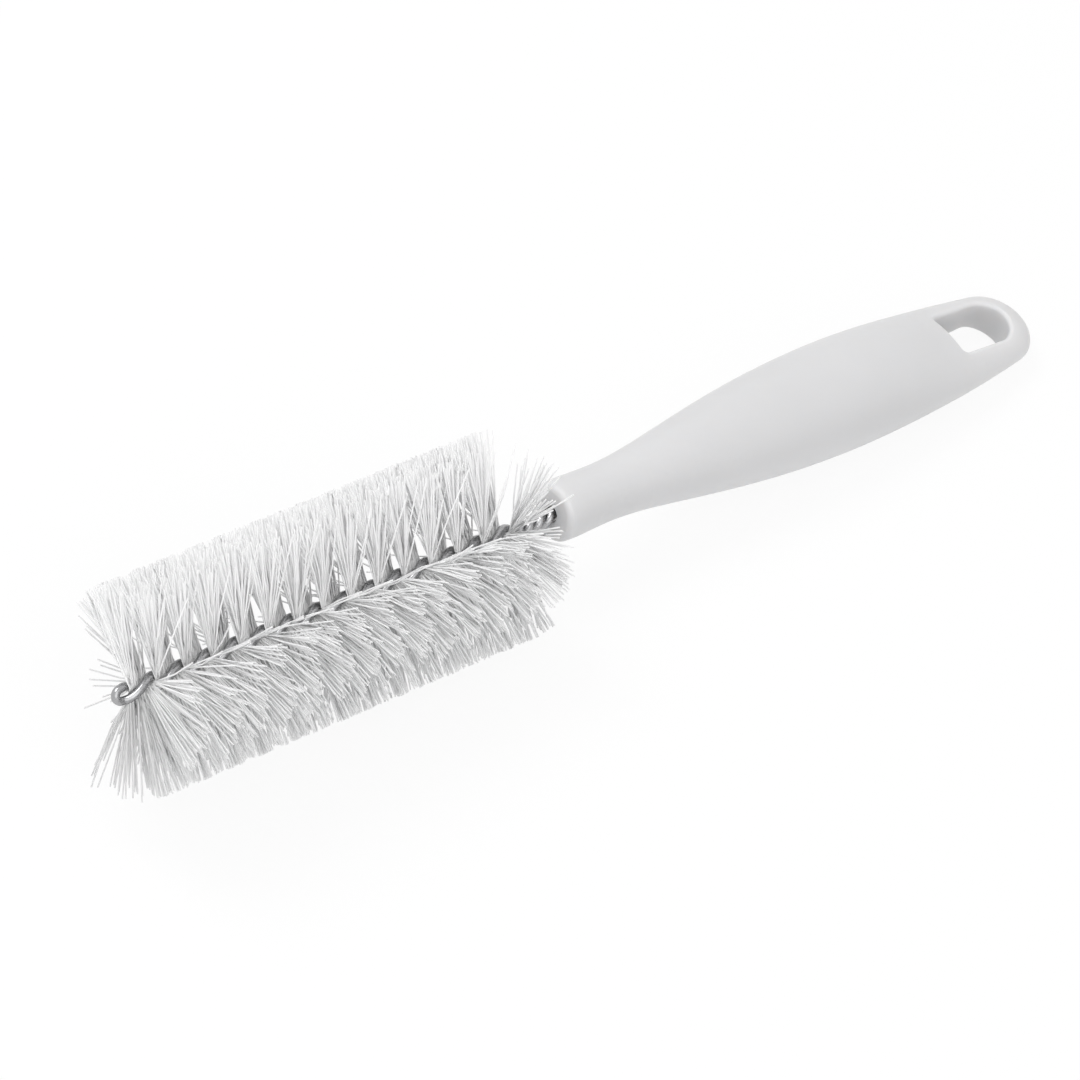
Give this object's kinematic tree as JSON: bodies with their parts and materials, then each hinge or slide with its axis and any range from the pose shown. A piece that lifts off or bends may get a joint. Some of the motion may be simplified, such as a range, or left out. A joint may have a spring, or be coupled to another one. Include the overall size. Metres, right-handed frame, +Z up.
{
  "type": "bottle brush",
  "caption": "Twisted-wire bottle brush with a round nylon bristle head and a white oval plastic handle that ends in a hanging eye.",
  "frame": {"origin": "on the table, under the middle of the brush's box, with the brush lying in its rest", "axes": "+X from the bristle tip towards the hanging eye, +Z up"},
  "size_m": [0.29, 0.05, 0.0633],
  "materials": {
    "handle_plastic": "milky white polypropylene, satin moulded skin",
    "galvanised_wire": "galvanised steel wire, smooth drawn surface",
    "bristle_nylon": "white nylon filament, slightly see-through"
  },
  "bodies": {
    "root": {"handle": "handle_plastic", "twisted_wire": "galvanised_wire", "bristle_turn_01": "bristle_nylon", "bristle_turn_02": "bristle_nylon", "bristle_turn_03": "bristle_nylon", "bristle_turn_04": "bristle_nylon", "bristle_turn_05": "bristle_nylon", "bristle_turn_06": "bristle_nylon", "bristle_turn_07": "bristle_nylon", "bristle_turn_08": "bristle_nylon", "bristle_turn_09": "bristle_nylon", "bristle_turn_10": "bristle_nylon", "bristle_turn_11": "bristle_nylon", "bristle_turn_12": "bristle_nylon", "bristle_turn_13": "bristle_nylon", "bristle_turn_14": "bristle_nylon"}
  },
  "joints": []
}
